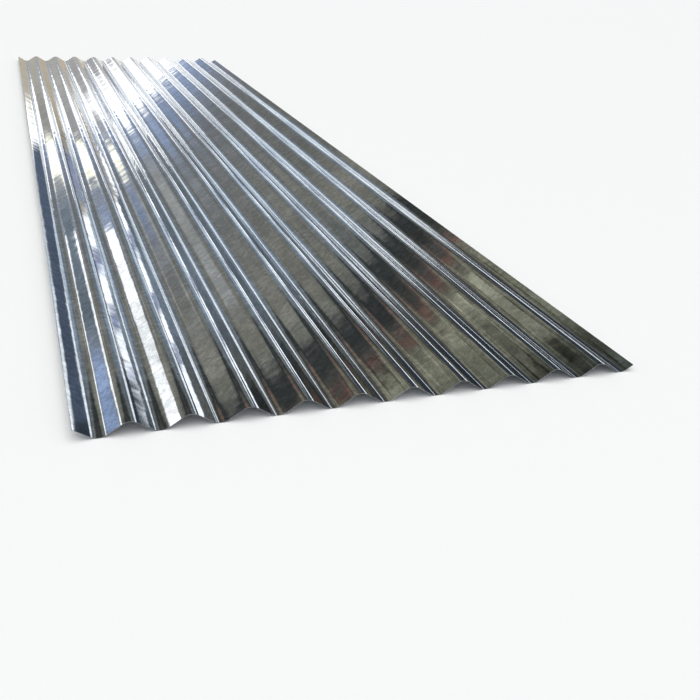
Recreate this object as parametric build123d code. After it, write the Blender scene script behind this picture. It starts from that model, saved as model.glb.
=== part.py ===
"""Corrugated sheet of galvanised steel, one piece, as rolled from a flat coil.

The section is a row of equal bends, a crest and a valley in turn, joined by straight flanks that are
tangent to them. It is the same all along the sheet. One side edge is cut just inside a crest, and the
other just past a valley, so that the next sheet laps over it. Both ends are cut square.

Millimetres. X runs across the waves, Y along them, and Z is up. The origin is on the floor, below the
middle of the sheet.
"""
import os
from math import asin, atan2, cos, degrees, hypot, radians, sin

from build123d import *

# Driving sizes
SHEET_LENGTH = 3048.0  # along the waves, 10 ft
PITCH = 76.2  # from crest to crest, 3 in
WAVE_DEPTH = 18.0  # from the valleys' middle line up to the crests'
BEND_RADIUS = 18.0  # of the middle line, at every crest and valley
STEEL_THICKNESS = 0.5
VALLEYS = 11
LEFT_EDGE_INSET = 7.0  # from the middle of the first crest in to the left side edge
RIGHT_LIP_RUN = 20.5  # from the middle of the last valley out to the right side edge


def flank_angle():
    """The slope of a flank: the line that is tangent to a crest's circle and the next valley's, in degrees."""
    centres_apart = hypot(PITCH / 2, 2 * BEND_RADIUS - WAVE_DEPTH)
    centres_slope = atan2(2 * BEND_RADIUS - WAVE_DEPTH, PITCH / 2)
    return degrees(asin(2 * BEND_RADIUS / centres_apart) - centres_slope)


def surface_line(rise):
    """One surface of the section, from the left edge to the right, at a rise above the middle line."""
    slope = flank_angle()
    crest_radius = BEND_RADIUS + rise
    valley_radius = BEND_RADIUS - rise
    edge_turn = degrees(asin(LEFT_EDGE_INSET / BEND_RADIUS))
    lip_length = (RIGHT_LIP_RUN - BEND_RADIUS * sin(radians(slope))) / cos(radians(slope))
    with BuildLine() as line:
        for wave in range(VALLEYS):
            crest_centre = (wave * PITCH, WAVE_DEPTH - BEND_RADIUS)
            valley_centre = ((wave + 0.5) * PITCH, BEND_RADIUS)
            if wave == 0:
                crest = CenterArc(crest_centre, crest_radius, 90 - edge_turn, edge_turn - slope)
            else:
                crest = CenterArc(crest_centre, crest_radius, 90 + slope, -2 * slope)
                Line(valley @ 1, crest @ 0)
            valley = CenterArc(valley_centre, valley_radius, 270 - slope, 2 * slope)
            Line(crest @ 1, valley @ 0)
        PolarLine(valley @ 1, lip_length, slope)
    return line.line


def section():
    """The sheet's closed outline, as a face: two parallel surfaces and two square side edges."""
    top = surface_line(STEEL_THICKNESS / 2)
    underside = surface_line(-STEEL_THICKNESS / 2)
    left_edge = Line(underside @ 0, top @ 0)
    right_edge = Line(top @ 1, underside @ 1)
    outline = Wire([*top.edges(), right_edge, *underside.edges(), left_edge])
    return Face(outline)


def corrugated_sheet():
    """The section drawn out along Y, with the middle of its footprint at the origin."""
    upright = Plane.XZ * section()
    sheet = extrude(upright, SHEET_LENGTH / 2, both=True)
    box = sheet.bounding_box()
    return Pos(-box.center().X, -box.center().Y, -box.min.Z) * sheet


def coil_width():
    """The flat width that the section takes up: the length of its middle line."""
    return sum(edge.length for edge in surface_line(0).edges())


os.makedirs("parts", exist_ok=True)
sheet = corrugated_sheet()
export_step(sheet, "parts/corrugated_sheet.step")
size = sheet.bounding_box().size
print(f"flank angle {flank_angle():.2f} degrees, flat width {coil_width():.1f} mm")
print(f"sheet {size.X:.2f} by {size.Y:.2f} by {size.Z:.2f} mm, volume {sheet.volume:.0f} cubic mm")
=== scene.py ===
"""A corrugated sheet of galvanised steel, in a plain studio.

The sheet is drawn as a roll former makes it: a zigzag line is rounded at every corner, run out along
the sheet, pushed a little out of true, and given the thickness of the steel. The finish is bright zinc
from the hot-dip bath. The studio is a pale floor in a softly lit room, which shows in the metal. Sizes
are in metres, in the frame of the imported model: X across the waves, Y along them, Z up, with the floor
at zero.
"""
from math import asin, atan2, cos, hypot, radians, sin, tan
from typing import NamedTuple

import bpy
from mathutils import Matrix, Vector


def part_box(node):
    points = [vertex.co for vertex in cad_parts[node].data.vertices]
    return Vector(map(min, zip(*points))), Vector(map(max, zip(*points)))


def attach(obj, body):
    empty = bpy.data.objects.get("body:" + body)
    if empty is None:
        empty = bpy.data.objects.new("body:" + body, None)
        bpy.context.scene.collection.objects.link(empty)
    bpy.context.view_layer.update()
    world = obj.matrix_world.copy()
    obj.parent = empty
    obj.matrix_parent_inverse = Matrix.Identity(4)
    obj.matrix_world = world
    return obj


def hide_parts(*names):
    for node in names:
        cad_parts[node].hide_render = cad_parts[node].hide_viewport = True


bl_info = {
    "name": "Corrugated Galvanised Sheet",
    "version": (1, 0, 0),
    "blender": (4, 5, 0),
    "location": "3D View > Sidebar > Corrugated Sheet",
    "description": "Rolls a corrugated steel sheet, gives it a zinc finish and sets up its studio",
    "category": "Object",
}

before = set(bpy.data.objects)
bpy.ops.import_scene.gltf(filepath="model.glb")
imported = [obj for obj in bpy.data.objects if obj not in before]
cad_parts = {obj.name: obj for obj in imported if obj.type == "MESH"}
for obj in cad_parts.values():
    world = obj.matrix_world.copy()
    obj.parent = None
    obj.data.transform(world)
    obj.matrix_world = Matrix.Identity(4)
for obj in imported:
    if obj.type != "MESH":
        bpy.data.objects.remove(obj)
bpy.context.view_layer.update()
SHEET_LOW, SHEET_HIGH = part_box("corrugated_sheet")
SHEET_SIZE = SHEET_HIGH - SHEET_LOW
MM = 0.001

# How finely the sheet is drawn
STEPS_PER_BEND = 10
LONGEST_STEP = 5.4 * MM  # between two points on a flank
ROWS = 150  # of points along the sheet
WELD_REACH = 0.01 * MM
CUT_EDGE_ANGLE = radians(60)  # a sharper corner than this is a cut edge

# Unevenness of the rolled waves
WANDER_SIZE = 160 * MM  # across the sheet, from one place that is out of true to the next
WANDER_STRETCH = 2  # times as far along the sheet

# The zinc's pattern and relief
CLUSTER = 3  # crystals across one patch of like crystals
CLUSTER_SHADE = 0.6  # how much of the dulling comes from the patches
CRYSTAL_SHADE = 0.5  # and from the single crystals
CRYSTAL_GLOSS = 0.018  # by how much roughness differs between crystals
CRYSTAL_RISE = 0.004 * MM
ROLL_MARK_STRETCH = 50  # times as long as they are wide
ROLL_MARK_RISE = 0.003 * MM
HOLLOW_SIZE = 60 * MM
HOLLOW_RISE = 0.25 * MM

# Painted highlights: pale chalky lines along the flanks' feet, in place of the glints of light on those
# bends
PAINTED_GLINT_PLACE = 34.6 * MM  # from the crest's middle
PAINTED_GLINT_NEAR = 1.0 * MM  # half the width, at the near end
PAINTED_GLINT_FAR = 2.6 * MM  # half the width, at the far end
PAINTED_GLINT_CORE = 0.4  # share of the width that is painted palest
PAINTED_GLINTS_BEGIN = 1.6  # pitches from the first crest
PAINTED_GLINTS_FULL = 2.3

# The sheared edges' fine lines
SHEAR_LINE_GAP = 0.4 * MM
SHEAR_LINE_RISE = 0.02 * MM
SHEAR_LINE_STRETCH = 10  # times as long, through the thickness, as they are wide


def linear(hex_colour):
    """The linear colour, with an alpha of 1, of an sRGB hex value."""
    shares = [int(hex_colour[place:place + 2], 16) / 255 for place in (1, 3, 5)]
    return (*(s / 12.92 if s <= 0.04045 else ((s + 0.055) / 1.055) ** 2.4 for s in shares), 1.0)


def add(tree, kind, settings=None, inputs=None):
    """Adds one node. Inputs go by name or number, and take a value, a socket or a node's first output."""
    node = tree.nodes.new(kind)
    for name, value in (settings or {}).items():
        setattr(node, name, value)
    for name, value in (inputs or {}).items():
        source = value.outputs[0] if isinstance(value, bpy.types.Node) else value
        if isinstance(source, bpy.types.NodeSocket):
            tree.links.new(source, node.inputs[name])
        else:
            node.inputs[name].default_value = source
    return node


class SheetSizes(bpy.types.PropertyGroup):
    """What the roll former is set to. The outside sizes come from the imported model."""

    length: bpy.props.FloatProperty(
        name="Length", description="Along the waves", default=SHEET_SIZE.y, unit="LENGTH")
    width: bpy.props.FloatProperty(
        name="Width", description="Over both side edges", default=SHEET_SIZE.x, unit="LENGTH")
    height: bpy.props.FloatProperty(
        name="Height", description="Over the crests and under the valleys", default=SHEET_SIZE.z,
        unit="LENGTH")
    pitch: bpy.props.FloatProperty(
        name="Pitch", description="From crest to crest", default=76.2 * MM, unit="LENGTH")
    bend_radius: bpy.props.FloatProperty(
        name="Bend Radius", description="Of the steel's middle, at crests and valleys", default=18 * MM,
        unit="LENGTH")
    steel: bpy.props.FloatProperty(
        name="Steel", description="Thickness of the steel", default=0.5 * MM, unit="LENGTH")
    left_inset: bpy.props.FloatProperty(
        name="Left Inset", description="From the first crest's middle in to the side edge",
        default=7 * MM, unit="LENGTH")
    valleys: bpy.props.IntProperty(
        name="Valleys", description="How many valleys the rolls press", default=11, min=1)
    unevenness: bpy.props.FloatProperty(
        name="Unevenness", description="How far the waves wander from true", default=0.45 * MM,
        unit="LENGTH")
    seed: bpy.props.IntProperty(
        name="Seed", description="Picks another pattern of unevenness", default=7)


class ZincFinish(bpy.types.PropertyGroup):
    """Colours and texture sizes of the zinc and of the cut steel."""

    bright: bpy.props.FloatVectorProperty(
        name="Bright Zinc", description="Where the zinc is cleanest", default=linear("#c9cdd1")[:3],
        subtype="COLOR", min=0, max=1)
    clouded: bpy.props.FloatVectorProperty(
        name="Clouded Zinc", description="Where the zinc has dulled a little",
        default=linear("#9da1a4")[:3], subtype="COLOR", min=0, max=1)
    cut_steel: bpy.props.FloatVectorProperty(
        name="Cut Steel", description="Bare steel of the sheared edges", default=linear("#6c7074")[:3],
        subtype="COLOR", min=0, max=1)
    cloud_size: bpy.props.FloatProperty(
        name="Cloud Size", description="Across one dull patch", default=90 * MM, unit="LENGTH")
    spangle_size: bpy.props.FloatProperty(
        name="Spangle Size", description="Across one zinc crystal", default=2.6 * MM, unit="LENGTH")
    roll_mark_gap: bpy.props.FloatProperty(
        name="Roll Mark Gap", description="Between the fine lines that the rolls leave", default=1.6 * MM,
        unit="LENGTH")


class StudioLook(bpy.types.PropertyGroup):
    """The floor, the light and the camera."""

    floor: bpy.props.FloatVectorProperty(
        name="Floor", description="Pale floor", default=linear("#fbfbfb")[:3], subtype="COLOR",
        min=0, max=1)
    brightness: bpy.props.FloatProperty(
        name="Brightness", description="Strength of the room's light, where it is white", default=2.2,
        min=0)
    lens: bpy.props.FloatProperty(
        name="Lens", description="Focal length in mm, on a 36 mm sensor", default=45.36, min=1)
    camera_place: bpy.props.FloatVectorProperty(
        name="Camera Place", description="Where the camera stands", default=(-0.4288, -2.4886, 0.5848),
        subtype="TRANSLATION", unit="LENGTH")
    camera_turn: bpy.props.FloatVectorProperty(
        name="Camera Turn", description="Tilt, roll and heading of the camera",
        default=(radians(64.199), radians(-3.254), radians(-19.702)), subtype="EULER", unit="ROTATION")


def flank_angle(depth, sizes):
    """The slope in radians of a flank, which is tangent to a crest's circle and the next valley's."""
    spare = 2 * sizes.bend_radius - depth
    centres_apart = hypot(sizes.pitch / 2, spare)
    return asin(2 * sizes.bend_radius / centres_apart) - atan2(spare, sizes.pitch / 2)


def rolled_waves_tree():
    """Geometry Nodes that roll the sheet: corners, bends, side cuts, length, unevenness and thickness."""
    tree = bpy.data.node_groups.new("Rolled Waves", "GeometryNodeTree")
    sockets = {
        "Length": "Float", "Pitch": "Float", "First Corner": "Vector", "Corner Rise": "Float",
        "Corners": "Int", "Bend Radius": "Float", "Steel": "Float", "Left Cut": "Float",
        "Right Cut": "Float", "Steps per Bend": "Int", "Longest Step": "Float", "Rows": "Int",
        "Side Reach": "Float", "Mid Height": "Float", "Half Depth": "Float", "Unevenness": "Float",
        "Seed": "Float", "Zinc": "Material", "Cut Steel": "Material",
    }
    for name, kind in sockets.items():
        tree.interface.new_socket(name, in_out="INPUT", socket_type="NodeSocket" + kind)
    tree.interface.new_socket("Sheet", in_out="OUTPUT", socket_type="NodeSocketGeometry")
    given = add(tree, "NodeGroupInput").outputs

    # The section: a zigzag with every other corner raised, and all its corners rounded. It is drawn with
    # its heights downwards, because a profile comes out turned over when it is run along Y
    half_pitch = add(tree, "ShaderNodeMath", {"operation": "DIVIDE"}, {0: given["Pitch"], 1: 2.0})
    step = add(tree, "ShaderNodeCombineXYZ", inputs={"X": half_pitch})
    corners = add(tree, "GeometryNodeMeshLine", inputs={
        "Count": given["Corners"], "Start Location": given["First Corner"], "Offset": step})
    index = add(tree, "GeometryNodeInputIndex")
    odd = add(tree, "FunctionNodeIntegerMath", {"operation": "MODULO"}, {0: index, 1: 2})
    rise = add(tree, "ShaderNodeMath", {"operation": "MULTIPLY"}, {0: given["Corner Rise"], 1: odd})
    drop = add(tree, "ShaderNodeMath", {"operation": "MULTIPLY"}, {0: rise, 1: -1.0})
    lift = add(tree, "ShaderNodeCombineXYZ", inputs={"Y": drop})
    zigzag = add(tree, "GeometryNodeSetPosition", inputs={"Geometry": corners, "Offset": lift})
    line = add(tree, "GeometryNodeMeshToCurve", inputs={"Mesh": zigzag})
    rounded = add(tree, "GeometryNodeFilletCurve", {"mode": "POLY"}, {
        "Curve": line, "Count": given["Steps per Bend"], "Radius": given["Bend Radius"]})

    # The side edges, cut by their distance along the section from its two ends
    section_length = add(tree, "GeometryNodeCurveLength", inputs={"Curve": rounded})
    right_cut = add(tree, "ShaderNodeMath", {"operation": "SUBTRACT"}, {
        0: section_length, 1: given["Right Cut"]})
    section = add(tree, "GeometryNodeTrimCurve", {"mode": "LENGTH"}, {
        "Curve": rounded, 4: given["Left Cut"], 5: right_cut})

    # The flat stretches get points of their own, so that they can be uneven too
    place = add(tree, "GeometryNodeInputPosition")
    next_index = add(tree, "FunctionNodeIntegerMath", {"operation": "ADD"}, {0: index, 1: 1})
    next_place = add(tree, "GeometryNodeFieldAtIndex", {"data_type": "FLOAT_VECTOR"}, {
        "Value": place, "Index": next_index})
    stretch = add(tree, "ShaderNodeVectorMath", {"operation": "DISTANCE"}, {0: place, 1: next_place})
    steps = add(tree, "ShaderNodeMath", {"operation": "DIVIDE"}, {
        0: stretch.outputs["Value"], 1: given["Longest Step"]})
    cuts = add(tree, "ShaderNodeMath", {"operation": "FLOOR"}, {0: steps})
    section = add(tree, "GeometryNodeSubdivideCurve", inputs={"Curve": section, "Cuts": cuts})

    # The section run out along the sheet
    half_length = add(tree, "ShaderNodeMath", {"operation": "DIVIDE"}, {0: given["Length"], 1: 2.0})
    minus_half = add(tree, "ShaderNodeMath", {"operation": "MULTIPLY"}, {0: half_length, 1: -1.0})
    near_end = add(tree, "ShaderNodeCombineXYZ", inputs={"Y": minus_half})
    far_end = add(tree, "ShaderNodeCombineXYZ", inputs={"Y": half_length})
    run = add(tree, "GeometryNodeCurvePrimitiveLine", inputs={"Start": near_end, "End": far_end})
    run = add(tree, "GeometryNodeResampleCurve", inputs={"Curve": run, "Count": given["Rows"]})
    strip = add(tree, "GeometryNodeCurveToMesh", inputs={"Curve": run, "Profile Curve": section})

    # Unevenness: waves wander sideways, but not at the side edges, and here and there are shallower
    where = add(tree, "ShaderNodeSeparateXYZ", inputs={0: place})
    stretched = add(tree, "ShaderNodeVectorMath", {"operation": "MULTIPLY"}, {
        0: place, 1: (1.0, 1 / WANDER_STRETCH, 0.0)})
    wander = add(tree, "ShaderNodeTexNoise", {"noise_dimensions": "4D"}, {
        "Vector": stretched, "W": given["Seed"], "Scale": 1 / WANDER_SIZE, "Detail": 1.0})
    parts = add(tree, "ShaderNodeSeparateXYZ", inputs={0: wander.outputs["Color"]})
    centred = add(tree, "ShaderNodeMath", {"operation": "SUBTRACT"}, {0: parts.outputs["X"], 1: 0.5})
    off_side = add(tree, "ShaderNodeMath", {"operation": "ABSOLUTE"}, {0: where.outputs["X"]})
    inland = add(tree, "ShaderNodeMapRange", {"interpolation_type": "SMOOTHSTEP"}, {
        "Value": off_side, "From Min": given["Side Reach"], "To Min": 0.0, "To Max": 2.0})
    edge_start = add(tree, "ShaderNodeMath", {"operation": "SUBTRACT"}, {
        0: given["Side Reach"], 1: given["Pitch"]})
    tree.links.new(edge_start.outputs[0], inland.inputs["From Max"])
    sideways = add(tree, "ShaderNodeMath", {"operation": "MULTIPLY"}, {0: centred, 1: inland})
    sideways = add(tree, "ShaderNodeMath", {"operation": "MULTIPLY"}, {0: sideways, 1: given["Unevenness"]})
    above_mid = add(tree, "ShaderNodeMath", {"operation": "SUBTRACT"}, {
        0: where.outputs["Z"], 1: given["Mid Height"]})
    share = add(tree, "ShaderNodeMath", {"operation": "DIVIDE"}, {0: above_mid, 1: given["Half Depth"]})
    shallow = add(tree, "ShaderNodeMath", {"operation": "MULTIPLY"}, {0: parts.outputs["Y"], 1: share})
    inwards = add(tree, "ShaderNodeMath", {"operation": "MULTIPLY"}, {0: given["Unevenness"], 1: -1.0})
    shallow = add(tree, "ShaderNodeMath", {"operation": "MULTIPLY"}, {0: shallow, 1: inwards})
    drift = add(tree, "ShaderNodeCombineXYZ", inputs={"X": sideways, "Z": shallow})
    strip = add(tree, "GeometryNodeSetPosition", inputs={"Geometry": strip, "Offset": drift})

    # Thickness: the strip goes down by half of it, and the top and the rim are drawn out of it
    normal = add(tree, "GeometryNodeInputNormal")
    half_steel = add(tree, "ShaderNodeMath", {"operation": "DIVIDE"}, {0: given["Steel"], 1: -2.0})
    down = add(tree, "ShaderNodeVectorMath", {"operation": "SCALE"}, {0: normal, "Scale": half_steel})
    under = add(tree, "GeometryNodeSetPosition", inputs={"Geometry": strip, "Offset": down})
    under = add(tree, "GeometryNodeSetMaterial", inputs={"Geometry": under, "Material": given["Zinc"]})
    thick = add(tree, "GeometryNodeExtrudeMesh", {"mode": "FACES"}, {
        "Mesh": under, "Offset Scale": given["Steel"], "Individual": False})
    underside = add(tree, "GeometryNodeFlipFaces", inputs={"Mesh": under})
    skins = add(tree, "GeometryNodeJoinGeometry", inputs={0: underside})
    tree.links.new(thick.outputs["Mesh"], skins.inputs[0])
    skins = add(tree, "GeometryNodeMergeByDistance", inputs={"Geometry": skins, "Distance": WELD_REACH})
    smooth = add(tree, "GeometryNodeSetShadeSmooth", inputs={"Geometry": skins, "Shade Smooth": True})
    corner = add(tree, "GeometryNodeInputMeshEdgeAngle")
    square = add(tree, "FunctionNodeCompare", {"operation": "GREATER_THAN"}, {
        0: corner.outputs["Unsigned Angle"], 1: CUT_EDGE_ANGLE})
    sharp = add(tree, "GeometryNodeSetShadeSmooth", {"domain": "EDGE"}, {
        "Geometry": smooth, "Selection": square, "Shade Smooth": False})
    real = add(tree, "GeometryNodeRealizeInstances", inputs={"Geometry": sharp})
    whole = add(tree, "GeometryNodeSetMaterial", inputs={
        "Geometry": real, "Selection": thick.outputs["Side"], "Material": given["Cut Steel"]})
    add(tree, "NodeGroupOutput", inputs={0: whole})
    return tree


def realised(host):
    """Turns a host object's Geometry Nodes result into its own plain mesh, and removes the modifier."""
    evaluated = host.evaluated_get(bpy.context.evaluated_depsgraph_get())
    mesh = bpy.data.meshes.new_from_object(evaluated)
    host.modifiers.clear()
    host.data = mesh
    return host


def spangled_zinc(finish, crest_x, pitch):
    """Hot-dip galvanised steel, rolled smooth. The bath leaves a bright skin of small zinc crystals, each
    with its own slight shade and gloss, and the rolls leave fine lines along the sheet and soft hollows.
    The fine lines are drawn coarser than real ones, so that they show."""
    material = bpy.data.materials.new("spangled_zinc")
    material.use_nodes = True
    tree = material.node_tree
    tree.nodes.clear()
    where = add(tree, "ShaderNodeTexCoord").outputs["Object"]

    clouds = add(tree, "ShaderNodeTexNoise", {"noise_dimensions": "2D"}, {
        "Vector": where, "Scale": 1 / finish.cloud_size, "Detail": 3.0, "Roughness": 0.55})
    crystals = add(tree, "ShaderNodeTexVoronoi", {"voronoi_dimensions": "2D"}, {
        "Vector": where, "Scale": 1 / finish.spangle_size, "Randomness": 1.0})
    crystal = add(tree, "ShaderNodeSeparateXYZ", inputs={0: crystals.outputs["Color"]})
    clusters = add(tree, "ShaderNodeTexVoronoi", {"voronoi_dimensions": "2D"}, {
        "Vector": where, "Scale": 1 / (CLUSTER * finish.spangle_size), "Randomness": 1.0})
    cluster = add(tree, "ShaderNodeSeparateXYZ", inputs={0: clusters.outputs["Color"]})
    lengthened = add(tree, "ShaderNodeVectorMath", {"operation": "MULTIPLY"}, {
        0: where, 1: (1.0, 1 / ROLL_MARK_STRETCH, 1.0)})
    roll_marks = add(tree, "ShaderNodeTexNoise", {"noise_dimensions": "2D"}, {
        "Vector": lengthened, "Scale": 1 / finish.roll_mark_gap, "Detail": 2.0})

    dulling = add(tree, "ShaderNodeMapRange", inputs={
        "Value": clouds, "From Min": 0.35, "From Max": 0.7, "To Min": 0.0, "To Max": 0.4})
    speckle = add(tree, "ShaderNodeMath", {"operation": "MULTIPLY_ADD"}, {
        0: crystal.outputs["X"], 1: CRYSTAL_SHADE, 2: dulling})
    speckle = add(tree, "ShaderNodeMath", {"operation": "MULTIPLY_ADD"}, {
        0: cluster.outputs["X"], 1: CLUSTER_SHADE, 2: speckle})
    colour = add(tree, "ShaderNodeMix", {"data_type": "RGBA"}, {
        "Factor": speckle, 6: (*finish.bright, 1.0), 7: (*finish.clouded, 1.0)})

    gloss = add(tree, "ShaderNodeMapRange", inputs={
        "Value": clouds, "From Min": 0.3, "From Max": 0.7, "To Min": 0.02, "To Max": 0.04})
    gloss = add(tree, "ShaderNodeMath", {"operation": "MULTIPLY_ADD"}, {
        0: crystal.outputs["Y"], 1: CRYSTAL_GLOSS, 2: gloss})

    # Painted highlight: a pale, chalky, less metallic line along the foot of each flank that faces right,
    # in place of the glint of light on that bend. It is widest at the far end, so that it shows there, and
    # the first waves have none
    axes = add(tree, "ShaderNodeSeparateXYZ", inputs={0: where})
    from_crest = add(tree, "ShaderNodeMath", {"operation": "SUBTRACT"}, {0: axes.outputs["X"], 1: crest_x})
    wave = add(tree, "ShaderNodeMath", {"operation": "DIVIDE"}, {0: from_crest, 1: pitch})
    wave = add(tree, "ShaderNodeMath", {"operation": "FRACT"}, {0: wave})
    off_line = add(tree, "ShaderNodeMath", {"operation": "SUBTRACT"}, {0: wave, 1: PAINTED_GLINT_PLACE / pitch})
    off_line = add(tree, "ShaderNodeMath", {"operation": "ABSOLUTE"}, {0: off_line})
    reach = add(tree, "ShaderNodeMapRange", inputs={
        "Value": axes.outputs["Y"], "From Min": SHEET_LOW.y, "From Max": SHEET_HIGH.y,
        "To Min": PAINTED_GLINT_NEAR / pitch, "To Max": PAINTED_GLINT_FAR / pitch})
    core = add(tree, "ShaderNodeMath", {"operation": "MULTIPLY"}, {0: reach, 1: PAINTED_GLINT_CORE})
    painted_glint = add(tree, "ShaderNodeMapRange", {"interpolation_type": "SMOOTHSTEP"}, {
        "Value": off_line, "From Min": reach, "From Max": core})
    past_first_waves = add(tree, "ShaderNodeMapRange", inputs={
        "Value": axes.outputs["X"], "From Min": crest_x + PAINTED_GLINTS_BEGIN * pitch,
        "From Max": crest_x + PAINTED_GLINTS_FULL * pitch})
    painted_glint = add(tree, "ShaderNodeMath", {"operation": "MULTIPLY"}, {0: painted_glint, 1: past_first_waves})
    # The painted highlight's pale colour, on a duller and less metallic surface
    colour = add(tree, "ShaderNodeMix", {"data_type": "RGBA"}, {
        "Factor": painted_glint, 6: colour.outputs[2], 7: linear("#eff3f7")})
    metal = add(tree, "ShaderNodeMapRange", inputs={"Value": painted_glint, "To Min": 1.0, "To Max": 0.35})
    gloss = add(tree, "ShaderNodeMix", {"data_type": "FLOAT"}, {0: painted_glint, 2: gloss, 3: 0.3})

    hollows = add(tree, "ShaderNodeTexNoise", {"noise_dimensions": "2D"}, {
        "Vector": where, "Scale": 1 / HOLLOW_SIZE, "Detail": 2.0, "Roughness": 0.45})
    shape = add(tree, "ShaderNodeBump", inputs={
        "Strength": 1.0, "Distance": HOLLOW_RISE, "Height": hollows})
    shape = add(tree, "ShaderNodeBump", inputs={
        "Strength": 1.0, "Distance": ROLL_MARK_RISE, "Height": roll_marks, "Normal": shape})
    shape = add(tree, "ShaderNodeBump", inputs={
        "Strength": 1.0, "Distance": CRYSTAL_RISE, "Height": crystals.outputs["Distance"],
        "Normal": shape})
    surface = add(tree, "ShaderNodeBsdfPrincipled", inputs={
        "Base Color": colour.outputs[2], "Metallic": metal, "Roughness": gloss.outputs[0],
        "Normal": shape})
    add(tree, "ShaderNodeOutputMaterial", inputs={"Surface": surface})
    return material


def sheared_steel(finish):
    """Bare steel, cut by a shear, which leaves fine upright lines. It is duller and darker than zinc."""
    material = bpy.data.materials.new("sheared_steel")
    material.use_nodes = True
    tree = material.node_tree
    tree.nodes.clear()
    where = add(tree, "ShaderNodeTexCoord").outputs["Object"]
    upright = add(tree, "ShaderNodeVectorMath", {"operation": "MULTIPLY"}, {
        0: where, 1: (1.0, 1.0, 1 / SHEAR_LINE_STRETCH)})
    lines = add(tree, "ShaderNodeTexNoise", inputs={
        "Vector": upright, "Scale": 1 / SHEAR_LINE_GAP, "Detail": 2.0})
    shade = add(tree, "ShaderNodeMix", {"data_type": "RGBA"}, {
        "Factor": lines, 6: (*finish.cut_steel, 1.0), 7: linear("#b4b7b8")})
    shape = add(tree, "ShaderNodeBump", inputs={
        "Strength": 0.6, "Distance": SHEAR_LINE_RISE, "Height": lines})
    surface = add(tree, "ShaderNodeBsdfPrincipled", inputs={
        "Base Color": shade.outputs[2], "Metallic": 1.0, "Roughness": 0.38, "Normal": shape})
    add(tree, "ShaderNodeOutputMaterial", inputs={"Surface": surface})
    return material


class SHEET_OT_roll(bpy.types.Operator):
    """Roll the galvanised sheet, cut its edges and put its finish on"""

    bl_idname = "sheet.roll"
    bl_label = "Roll the Sheet"

    def execute(self, context):
        sizes = context.scene.sheet_sizes
        finish = context.scene.zinc_finish
        depth = sizes.height - sizes.steel
        slope = flank_angle(depth, sizes)
        # How far a corner of the zigzag stands past its rounded bend
        overshoot = sizes.bend_radius * (1 / cos(slope) - 1)
        crest_x = SHEET_LOW.x - sizes.left_inset * (1 - sizes.steel / 2 / sizes.bend_radius)
        last_valley_x = crest_x + (sizes.valleys - 0.5) * sizes.pitch
        lip = SHEET_LOW.x + sizes.width - sin(slope) * sizes.steel / 2 - last_valley_x
        bend_half_run = sizes.bend_radius * sin(slope)
        # The straight run at each open end of the zigzag, which has only one rounded corner
        end_run = sizes.pitch / 2 / cos(slope) - sizes.bend_radius * tan(slope)
        values = {
            "Length": sizes.length,
            "Pitch": sizes.pitch,
            "First Corner": (crest_x - sizes.pitch / 2, overshoot - sizes.steel / 2, 0.0),
            "Corner Rise": depth + 2 * overshoot,
            "Corners": 2 * sizes.valleys + 2,
            "Bend Radius": sizes.bend_radius,
            "Steel": sizes.steel,
            "Left Cut": end_run + sizes.bend_radius * (
                slope + asin(sizes.left_inset / sizes.bend_radius)),
            "Right Cut": end_run - (lip - bend_half_run) / cos(slope),
            "Steps per Bend": STEPS_PER_BEND,
            "Longest Step": LONGEST_STEP,
            "Rows": ROWS,
            "Side Reach": sizes.width / 2,
            "Mid Height": sizes.height / 2,
            "Half Depth": depth / 2,
            "Unevenness": sizes.unevenness,
            "Seed": float(sizes.seed),
            "Zinc": spangled_zinc(finish, crest_x, sizes.pitch),
            "Cut Steel": sheared_steel(finish),
        }
        tree = rolled_waves_tree()
        sheet = bpy.data.objects.new("galvanised_sheet", bpy.data.meshes.new("galvanised_sheet"))
        context.scene.collection.objects.link(sheet)
        modifier = sheet.modifiers.new("Rolled Waves", "NODES")
        modifier.node_group = tree
        for socket in tree.interface.items_tree:
            if socket.in_out == "INPUT":
                modifier[socket.identifier] = values[socket.name]
        realised(sheet)
        if not sheet.data.polygons:
            raise RuntimeError("the rolled sheet has no faces: its sizes don't go together")
        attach(sheet, "root")
        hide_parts("corrugated_sheet")
        return {"FINISHED"}


class WallPanel(NamedTuple):
    """One soft-edged part of the studio's walls, by where it stands round the sheet, in degrees."""

    shade: str | None  # None where the part has shades by height
    turn: float  # of its middle, from the sheet's far end round to its right
    rise: float  # of its middle, above the floor
    half_width: float
    half_height: float
    soft: float  # from its edge line to where it has faded out
    tilt: float = 0.0  # how far its right end hangs down


# The plain walls and the soft ceiling light, by height above the floor in degrees
ROOM_SHADES = (
    (0, "#898c8f"), (30, "#989b9e"), (46, "#989b9e"), (50, "#d4d4d3"), (90, "#dededc"),
)
# The wall beyond the sheet's far end, by height in degrees, and how far it reaches
FAR_WALL_SHADES = (
    (-10, "#867e70"), (2.5, "#938978"), (5.5, "#888782"), (8, "#89898b"), (9.6, "#868990"),
    (12, "#7b88a0"), (13.2, "#717e95"), (14.6, "#6d7179"), (17, "#6b6c6c"), (20, "#6e6e6a"),
    (24, "#75736b"), (26.3, "#6e6e65"), (27.5, "#595a55"), (28.4, "#333535"), (30.3, "#333533"),
    (31.2, "#474642"), (31.9, "#4d4945"), (32.4, "#6c4f47"), (32.9, "#5a564d"), (34, "#6b6a5c"),
    (38.5, "#6b6b5d"), (40.5, "#545449"), (44, "#363933"), (47.5, "#3a3d3a"), (50, "#d4d4d3"),
)
FAR_WALL = WallPanel(None, turn=7, rise=-20.5, half_width=55, half_height=69.5, soft=1.5)
# Past a corner on the sheet's left this wall comes nearer, and its level lines look lower, in degrees
CORNER_TURNS = (-14, -29)
CORNER_DROP = 8
# Its soft clouds, which are stronger above the dark band
CLOUDS_PER_RADIAN = 16.0
CLOUD_HEIGHTS = (31, 34)
CLOUD_STRENGTHS = (0.8, 3.6)
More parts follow.
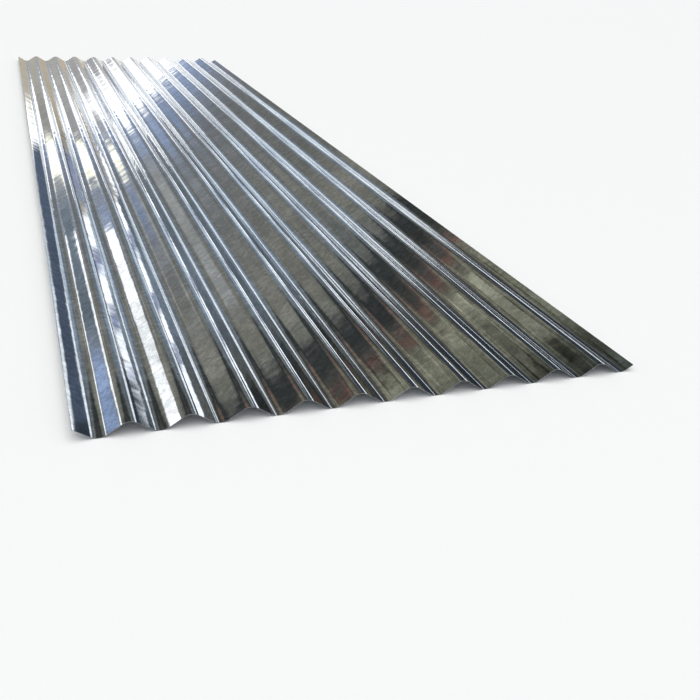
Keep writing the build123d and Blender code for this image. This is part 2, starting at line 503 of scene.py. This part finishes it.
# What stands in front of the far wall
WALL_PANELS = (
    WallPanel("#2f363e", turn=47, rise=14, half_width=22, half_height=30, soft=3.5),
    WallPanel("#565e66", turn=17, rise=18, half_width=9, half_height=7, soft=3),
    WallPanel("#666f77", turn=7, rise=22, half_width=6, half_height=5.5, soft=3),
    WallPanel("#7d8895", turn=17.9, rise=18.1, half_width=7.8, half_height=2.4, soft=1.6, tilt=25),
    WallPanel("#abb8c5", turn=17.0, rise=12.7, half_width=5.9, half_height=2.8, soft=1.3, tilt=25),
    WallPanel("#d9dee2", turn=24.0, rise=13.1, half_width=3.6, half_height=5.6, soft=1.3, tilt=25),
    WallPanel("#898a88", turn=-13.5, rise=16.4, half_width=5.5, half_height=1.2, soft=1.1, tilt=48),
    WallPanel("#5f605d", turn=-3, rise=19.5, half_width=3.5, half_height=3.0, soft=2.5),
    WallPanel("#f6faff", turn=28.5, rise=-2.6, half_width=18, half_height=3.9, soft=0.5),
    WallPanel("#f6faff", turn=32, rise=3.2, half_width=14.8, half_height=3.3, soft=0.5),
    WallPanel("#aeb6bf", turn=15.2, rise=10.2, half_width=3.6, half_height=2.0, soft=1.1),
    WallPanel("#71798f", turn=14.9, rise=3.2, half_width=1.6, half_height=0.9, soft=0.5),
    WallPanel("#7b829a", turn=19.9, rise=3.4, half_width=0.75, half_height=2.9, soft=0.5),
    WallPanel("#7b829a", turn=23.7, rise=3.6, half_width=0.75, half_height=2.7, soft=0.5),
    WallPanel("#868da1", turn=27.5, rise=3.6, half_width=0.75, half_height=2.7, soft=0.5),
    WallPanel("#ffffff", turn=11.2, rise=5.3, half_width=1.5, half_height=1.4, soft=0.5),
    WallPanel("#ccd2d9", turn=8.3, rise=9.5, half_width=3.5, half_height=1.3, soft=0.7),
    WallPanel("#434d5d", turn=20.3, rise=7.3, half_width=8.6, half_height=1.25, soft=0.45, tilt=-19),
    WallPanel("#ffffff", turn=-3.2, rise=10.5, half_width=5.5, half_height=1.5, soft=0.4, tilt=-12),
    WallPanel("#ffffff", turn=5.6, rise=12.7, half_width=3.7, half_height=1.1, soft=0.4, tilt=-12),
    WallPanel("#fffbe6", turn=-11.4, rise=8.9, half_width=1.1, half_height=2.5, soft=0.45, tilt=15),
    WallPanel("#6e757d", turn=-15.5, rise=9.6, half_width=2.4, half_height=1.2, soft=1.0, tilt=33),
    WallPanel("#616c75", turn=-18.5, rise=10.4, half_width=4.0, half_height=1.3, soft=0.8, tilt=29),
    WallPanel("#8698b8", turn=-25.7, rise=14.2, half_width=3.4, half_height=1.5, soft=1.4, tilt=29),
    WallPanel("#ffffff", turn=-20.8, rise=15.1, half_width=6.9, half_height=1.35, soft=0.35, tilt=33.6),
    WallPanel("#5b5d5b", turn=-9.3, rise=25.2, half_width=1.4, half_height=2.2, soft=1.2),
)


def panel_share_group():
    """A shader group for a soft panel's share at a spot, which is X round the room and Y up its walls."""
    group = bpy.data.node_groups.new("Soft Panel", "ShaderNodeTree")
    for name in ("Spot", "Middle", "Across", "Upwards"):
        group.interface.new_socket(name, in_out="INPUT", socket_type="NodeSocketVector")
    for name in ("Half Width", "Half Height", "Soft"):
        group.interface.new_socket(name, in_out="INPUT", socket_type="NodeSocketFloat")
    group.interface.new_socket("Share", in_out="OUTPUT", socket_type="NodeSocketFloat")
    given = add(group, "NodeGroupInput").outputs
    from_middle = add(group, "ShaderNodeVectorMath", {"operation": "SUBTRACT"}, {
        0: given["Spot"], 1: given["Middle"]})
    shares = []
    for axis, reach in (("Across", "Half Width"), ("Upwards", "Half Height")):
        off = add(group, "ShaderNodeVectorMath", {"operation": "DOT_PRODUCT"}, {
            0: from_middle, 1: given[axis]})
        off = add(group, "ShaderNodeMath", {"operation": "ABSOLUTE"}, {0: off.outputs["Value"]})
        outer = add(group, "ShaderNodeMath", {"operation": "ADD"}, {
            0: given[reach], 1: given["Soft"]})
        inner = add(group, "ShaderNodeMath", {"operation": "SUBTRACT"}, {
            0: given[reach], 1: given["Soft"]})
        shares.append(add(group, "ShaderNodeMapRange", {"interpolation_type": "SMOOTHSTEP"}, {
            "Value": off, "From Min": outer, "From Max": inner}))
    both = add(group, "ShaderNodeMath", {"operation": "MULTIPLY"}, {0: shares[0], 1: shares[1]})
    add(group, "NodeGroupOutput", inputs={0: both})
    return group


def panel_share(tree, group, spot, panel):
    """The group, set to a panel's place and size."""
    tilt = radians(panel.tilt)
    return add(tree, "ShaderNodeGroup", {"node_tree": group}, {
        "Spot": spot, "Middle": (radians(panel.turn), radians(panel.rise), 0.0),
        "Across": (cos(tilt), -sin(tilt), 0.0), "Upwards": (sin(tilt), cos(tilt), 0.0),
        "Half Width": radians(panel.half_width), "Half Height": radians(panel.half_height),
        "Soft": radians(panel.soft)})


def shades_by_height(tree, height, shades):
    """A ramp through shades that each have their height above the floor, in degrees."""
    low = shades[0][0]
    high = shades[-1][0]
    along = add(tree, "ShaderNodeMapRange", inputs={
        "Value": height, "From Min": radians(low), "From Max": radians(high)})
    ramp = add(tree, "ShaderNodeValToRGB", inputs={0: along})
    stops = ramp.color_ramp.elements
    while len(stops) < len(shades):
        stops.new(0.5)
    for stop, (degrees_up, shade) in zip(stops, shades):
        stop.position = (degrees_up - low) / (high - low)
        stop.color = linear(shade)
    return ramp.outputs["Color"]


def studio_room(look):
    """The room that lights the sheet and shows in it: plain walls and ceiling, and beyond the sheet's far
    end a wall with panels in front of it. Where the far wall has no share, only the plain room is worked
    out, which halves the render's time."""
    world = bpy.data.worlds.new("studio_room")
    world.use_nodes = True
    bpy.context.scene.world = world
    tree = world.node_tree
    tree.nodes.clear()
    direction = add(tree, "ShaderNodeTexCoord").outputs["Generated"]
    axes = add(tree, "ShaderNodeSeparateXYZ", inputs={0: direction})
    rise = add(tree, "ShaderNodeMath", {"operation": "ARCSINE"}, {0: axes.outputs["Z"]})
    turn = add(tree, "ShaderNodeMath", {"operation": "ARCTAN2"}, {
        0: axes.outputs["X"], 1: axes.outputs["Y"]})
    spot = add(tree, "ShaderNodeCombineXYZ", inputs={"X": turn, "Y": rise})
    room_light = add(tree, "ShaderNodeBackground", inputs={
        "Color": shades_by_height(tree, rise, ROOM_SHADES), "Strength": look.brightness})

    past_corner = add(tree, "ShaderNodeMapRange", inputs={
        "Value": turn, "From Min": radians(CORNER_TURNS[0]), "From Max": radians(CORNER_TURNS[1]),
        "To Min": 0.0, "To Max": radians(CORNER_DROP)})
    height = add(tree, "ShaderNodeMath", {"operation": "ADD"}, {0: rise, 1: past_corner})
    colour = shades_by_height(tree, height, FAR_WALL_SHADES)
    group = panel_share_group()
    for panel in WALL_PANELS:
        share = panel_share(tree, group, spot, panel)
        colour = add(tree, "ShaderNodeMix", {"data_type": "RGBA"}, {
            "Factor": share, 6: colour, 7: linear(panel.shade)}).outputs[2]
    clouds = add(tree, "ShaderNodeTexNoise", {"noise_dimensions": "2D"}, {
        "Vector": spot, "Scale": CLOUDS_PER_RADIAN, "Detail": 2.0, "Roughness": 0.55})
    contrast = add(tree, "ShaderNodeMapRange", inputs={
        "Value": height, "From Min": radians(CLOUD_HEIGHTS[0]), "From Max": radians(CLOUD_HEIGHTS[1]),
        "To Min": CLOUD_STRENGTHS[0], "To Max": CLOUD_STRENGTHS[1]})
    cloud = add(tree, "ShaderNodeMath", {"operation": "SUBTRACT"}, {0: clouds, 1: 0.5})
    cloud = add(tree, "ShaderNodeMath", {"operation": "MULTIPLY_ADD"}, {0: cloud, 1: contrast, 2: 1.0})
    strength = add(tree, "ShaderNodeMath", {"operation": "MULTIPLY"}, {0: cloud, 1: look.brightness})
    wall_light = add(tree, "ShaderNodeBackground", inputs={"Color": colour, "Strength": strength})

    wall_share = panel_share(tree, group, spot, FAR_WALL)
    light = add(tree, "ShaderNodeMixShader", inputs={0: wall_share, 1: room_light, 2: wall_light})
    add(tree, "ShaderNodeOutputWorld", inputs={"Surface": light})
    return world


class STUDIO_OT_set_up(bpy.types.Operator):
    """Lay the floor, light the room and stand the camera at its place"""

    bl_idname = "studio.set_up"
    bl_label = "Set Up the Studio"

    def execute(self, context):
        look = context.scene.studio_look
        context.scene.view_settings.view_transform = "Standard"
        studio_room(look)
        pale_floor(look)
        stand_camera(look)
        return {"FINISHED"}


def pale_floor(look):
    """A wide floor of matt pale board under the sheet."""
    reach = 40.0
    mesh = bpy.data.meshes.new("floor")
    corners = [(-reach, -reach, 0), (reach, -reach, 0), (reach, reach, 0), (-reach, reach, 0)]
    mesh.from_pydata(corners, [], [(0, 1, 2, 3)])
    floor = bpy.data.objects.new("floor", mesh)
    bpy.context.scene.collection.objects.link(floor)
    material = bpy.data.materials.new("matt_board")
    material.use_nodes = True
    shader = material.node_tree.nodes["Principled BSDF"]
    shader.inputs["Base Color"].default_value = (*look.floor, 1.0)
    shader.inputs["Roughness"].default_value = 0.9
    mesh.materials.append(material)


def stand_camera(look):
    """The camera, at the place and with the lens that give the picture's view."""
    data = bpy.data.cameras.new("camera")
    data.lens = look.lens
    data.clip_start = 0.01
    camera = bpy.data.objects.new("camera", data)
    camera.location = look.camera_place
    camera.rotation_euler = look.camera_turn
    bpy.context.scene.collection.objects.link(camera)
    bpy.context.scene.camera = camera


class VIEW3D_PT_corrugated_sheet(bpy.types.Panel):
    """Lists the sheet's sizes, finish and studio, with the operators that make them"""

    bl_label = "Corrugated Sheet"
    bl_space_type = "VIEW_3D"
    bl_region_type = "UI"
    bl_category = "Corrugated Sheet"

    def draw(self, context):
        groups = (
            (context.scene.sheet_sizes, None),
            (context.scene.zinc_finish, SHEET_OT_roll),
            (context.scene.studio_look, STUDIO_OT_set_up),
        )
        for group, operator in groups:
            for name in group.__annotations__:
                self.layout.prop(group, name)
            if operator:
                self.layout.operator(operator.bl_idname)


GROUPS = {"sheet_sizes": SheetSizes, "zinc_finish": ZincFinish, "studio_look": StudioLook}
OTHER_CLASSES = (SHEET_OT_roll, STUDIO_OT_set_up, VIEW3D_PT_corrugated_sheet)


def register():
    for name, group in GROUPS.items():
        bpy.utils.register_class(group)
        setattr(bpy.types.Scene, name, bpy.props.PointerProperty(type=group))
    for other in OTHER_CLASSES:
        bpy.utils.register_class(other)


def unregister():
    for other in reversed(OTHER_CLASSES):
        bpy.utils.unregister_class(other)
    for name, group in reversed(GROUPS.items()):
        delattr(bpy.types.Scene, name)
        bpy.utils.unregister_class(group)


def main():
    register()
    bpy.ops.sheet.roll()
    bpy.ops.studio.set_up()


if __name__ == "__main__":
    main()
